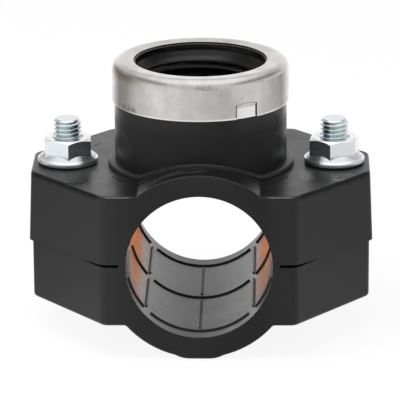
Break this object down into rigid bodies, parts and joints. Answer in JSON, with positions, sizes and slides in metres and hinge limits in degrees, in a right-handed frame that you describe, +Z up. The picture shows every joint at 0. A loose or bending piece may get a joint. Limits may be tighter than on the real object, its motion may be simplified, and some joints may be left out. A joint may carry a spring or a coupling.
{
  "type": "tapping saddle",
  "caption": "Two-part clamp saddle that grips a plastic pipe with bolts and nuts, with a seal, a steel ring and a female threaded outlet.",
  "frame": {"origin": "on the pipe's axis, at the middle of the saddle's length", "axes": "+Y along the pipe, +Z up through the threaded outlet, +X towards the right-hand bolt"},
  "size_m": [0.0972, 0.0692, 0.0777],
  "materials": {
    "black_plastic": "moulded polypropylene, smooth, low gloss",
    "ring_steel": "pressed stainless sheet, fine scratches",
    "seal_rubber": "moulded rubber",
    "zinc_steel": "bright zinc plate, faint blue"
  },
  "bodies": {
    "lower": {"lower_saddle": "black_plastic", "left_bolt": "zinc_steel", "right_bolt": "zinc_steel"},
    "upper": {"upper_saddle": "black_plastic", "reinforcing_ring": "ring_steel", "branch_seal": "seal_rubber"},
    "left_nut": {"left_nut": "zinc_steel"},
    "right_nut": {"right_nut": "zinc_steel"}
  },
  "joints": [
    {"name": "clamp_open", "type": "slide", "parent": "lower", "child": "upper", "axis": [0, 0, 1], "range_m": [0, 0.005]},
    {"name": "left_nut_turn", "type": "hinge", "parent": "upper", "child": "left_nut", "pos_m": [-0.0378, 0, 0.02035], "axis": [0, 0, 1], "range_deg": [0, 1440]},
    {"name": "right_nut_turn", "type": "hinge", "parent": "upper", "child": "right_nut", "pos_m": [0.0378, 0, 0.02035], "axis": [0, 0, 1], "range_deg": [0, 1440]}
  ],
  "couplings": [
    {"joint": "left_nut_turn", "follows": "clamp_open", "rad_per_m": 5026.5},
    {"joint": "right_nut_turn", "follows": "clamp_open", "rad_per_m": 5026.5}
  ]
}
